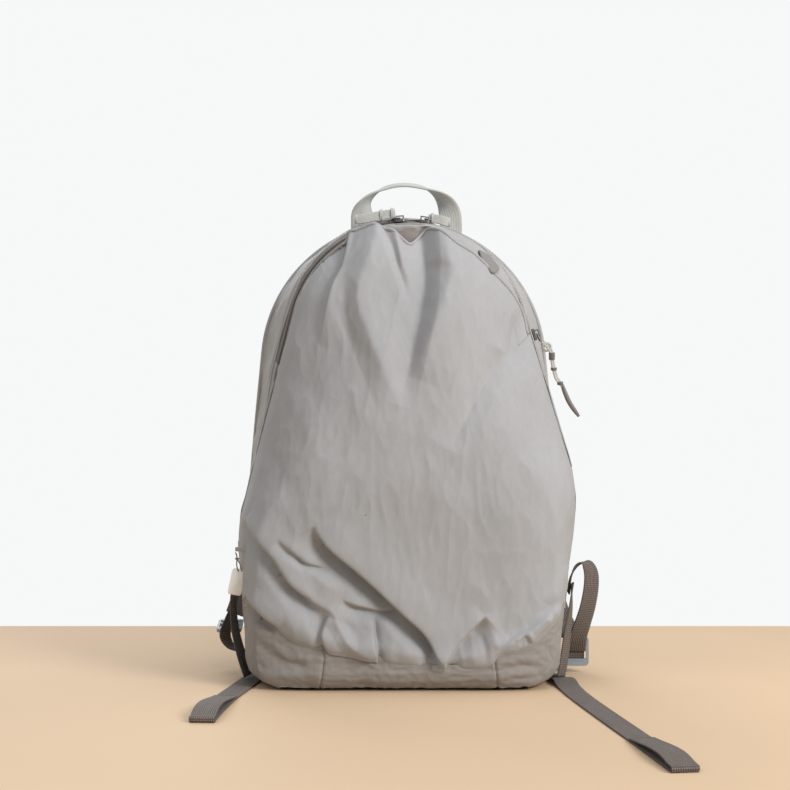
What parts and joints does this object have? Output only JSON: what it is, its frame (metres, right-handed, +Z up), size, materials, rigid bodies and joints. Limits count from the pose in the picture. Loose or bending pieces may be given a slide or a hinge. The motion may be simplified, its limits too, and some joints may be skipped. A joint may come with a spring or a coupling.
{
  "type": "daypack",
  "caption": "Teardrop daypack with a gathered front panel, zipped main and side openings, grab handle, padded straps and webbing tails in ladder locks.",
  "frame": {"origin": "on the base's resting face, on the pack's middle plane, below the main zip", "axes": "+Z up, the front panel faces -Y, the back panel and straps face +Y, +X is to the right seen from the front"},
  "size_m": [0.4169, 0.5354, 0.507],
  "materials": {
    "shell_nylon": "thin crinkled matte nylon",
    "gusset_nylon": "thin matte nylon",
    "base_nylon": "thin matte nylon",
    "lining": "plain woven lining",
    "spacer_mesh": "padded spacer mesh",
    "foam": "closed-cell foam, sealed inside its cover",
    "light_webbing": "ribbed woven webbing",
    "dark_webbing": "ribbed woven webbing",
    "zip_tape": "woven zip tape",
    "zip_coil": "moulded nylon coil",
    "zip_metal": "dark satin plating",
    "pull_tape": "flat woven tape",
    "lock_plastic": "moulded acetal",
    "tag_white": "smooth matte",
    "tag_cord": "thin braided cord"
  },
  "bodies": {
    "pack": {"back_panel_cover": "spacer_mesh", "back_panel_foam": "foam", "gusset_rear": "gusset_nylon", "gusset_front": "gusset_nylon", "front_overlay": "shell_nylon", "front_hem": "shell_nylon", "pocket_liner": "lining", "base_left": "base_nylon", "base_centre": "base_nylon", "base_right": "base_nylon", "base_pad": "foam", "back_piping": "gusset_nylon", "main_zip_tape": "zip_tape", "main_zip_coil": "zip_coil", "main_zip_stops": "gusset_nylon", "side_zip_tape": "zip_tape", "side_zip_coil": "zip_coil", "garage_tab": "gusset_nylon", "handle_feet": "light_webbing", "strap_yoke": "gusset_nylon", "anchor_tab_left": "base_nylon", "anchor_tab_right": "base_nylon", "web_loop_left": "dark_webbing", "web_loop_right": "dark_webbing", "web_drop_left": "dark_webbing", "web_drop_right": "dark_webbing", "web_tail_left": "dark_webbing", "web_tail_right": "dark_webbing", "tail_hem_left": "dark_webbing", "tail_hem_right": "dark_webbing", "tag_bartack": "gusset_nylon"},
    "handle": {"handle": "light_webbing"},
    "slider_left": {"zip_slider_left": "zip_metal"},
    "pull_left": {"zip_ring_left": "zip_metal", "pull_tape_left": "pull_tape", "pull_keeper_left": "pull_tape"},
    "slider_right": {"zip_slider_right": "zip_metal"},
    "pull_right": {"zip_ring_right": "zip_metal", "pull_tape_right": "pull_tape", "pull_keeper_right": "pull_tape"},
    "slider_side": {"zip_slider_side": "zip_metal"},
    "pull_side": {"zip_ring_side": "zip_metal", "pull_tape_side": "pull_tape", "pull_tab_side": "zip_metal"},
    "strap_left": {"strap_cover_left": "spacer_mesh", "strap_foam_left": "foam", "strap_web_left": "dark_webbing"},
    "strap_right": {"strap_cover_right": "spacer_mesh", "strap_foam_right": "foam", "strap_web_right": "dark_webbing"},
    "lock_left": {"ladder_lock_left": "lock_plastic"},
    "lock_right": {"ladder_lock_right": "lock_plastic"},
    "tag": {"tag_plate": "tag_white", "tag_cord": "tag_cord"}
  },
  "joints": [
    {"name": "handle_flop", "type": "hinge", "parent": "pack", "child": "handle", "pos_m": [0.004, 0.042, 0.464], "axis": [1, 0, 0], "range_deg": [-45, 8], "stiffness_Nm_per_rad": 0.02},
    {"name": "main_zip_left_travel", "type": "hinge", "parent": "pack", "child": "slider_left", "pos_m": [0.005, 0.014, 0.34], "axis": [0, 1, 0], "range_deg": [-60, 0]},
    {"name": "left_pull_swing", "type": "hinge", "parent": "slider_left", "child": "pull_left", "pos_m": [-0.00394, 0.014, 0.46789], "axis": [0, 1, 0], "range_deg": [0, 100]},
    {"name": "main_zip_right_travel", "type": "hinge", "parent": "pack", "child": "slider_right", "pos_m": [0.005, 0.014, 0.34], "axis": [0, 1, 0], "range_deg": [0, 56]},
    {"name": "right_pull_swing", "type": "hinge", "parent": "slider_right", "child": "pull_right", "pos_m": [0.02195, 0.014, 0.46707], "axis": [0, 1, 0], "range_deg": [-100, 0]},
    {"name": "side_zip_travel", "type": "slide", "parent": "pack", "child": "slider_side", "axis": [0.2889, 0, -0.9573], "range_m": [0, 0.112]},
    {"name": "side_pull_swing", "type": "hinge", "parent": "slider_side", "child": "pull_side", "pos_m": [0.1352, -0.008, 0.34797], "axis": [0, 1, 0], "range_deg": [-120, 0]},
    {"name": "strap_left_swing", "type": "hinge", "parent": "pack", "child": "strap_left", "pos_m": [-0.048, 0.086, 0.438], "axis": [0, 1, 0], "range_deg": [0, 10]},
    {"name": "strap_right_swing", "type": "hinge", "parent": "pack", "child": "strap_right", "pos_m": [0.048, 0.086, 0.438], "axis": [0, 1, 0], "range_deg": [-10, 0]},
    {"name": "lock_left_tilt", "type": "hinge", "parent": "strap_left", "child": "lock_left", "pos_m": [-0.183, 0.07272, 0.0447], "axis": [1, 0, 0], "range_deg": [-25, 0]},
    {"name": "lock_right_tilt", "type": "hinge", "parent": "strap_right", "child": "lock_right", "pos_m": [0.178, 0.02, 0.035], "axis": [1, 0, 0], "range_deg": [-20, 0]},
    {"name": "tag_swing", "type": "hinge", "parent": "pack", "child": "tag", "pos_m": [-0.166, -0.052, 0.131], "axis": [1, 0, 0], "range_deg": [-20, 12]}
  ]
}
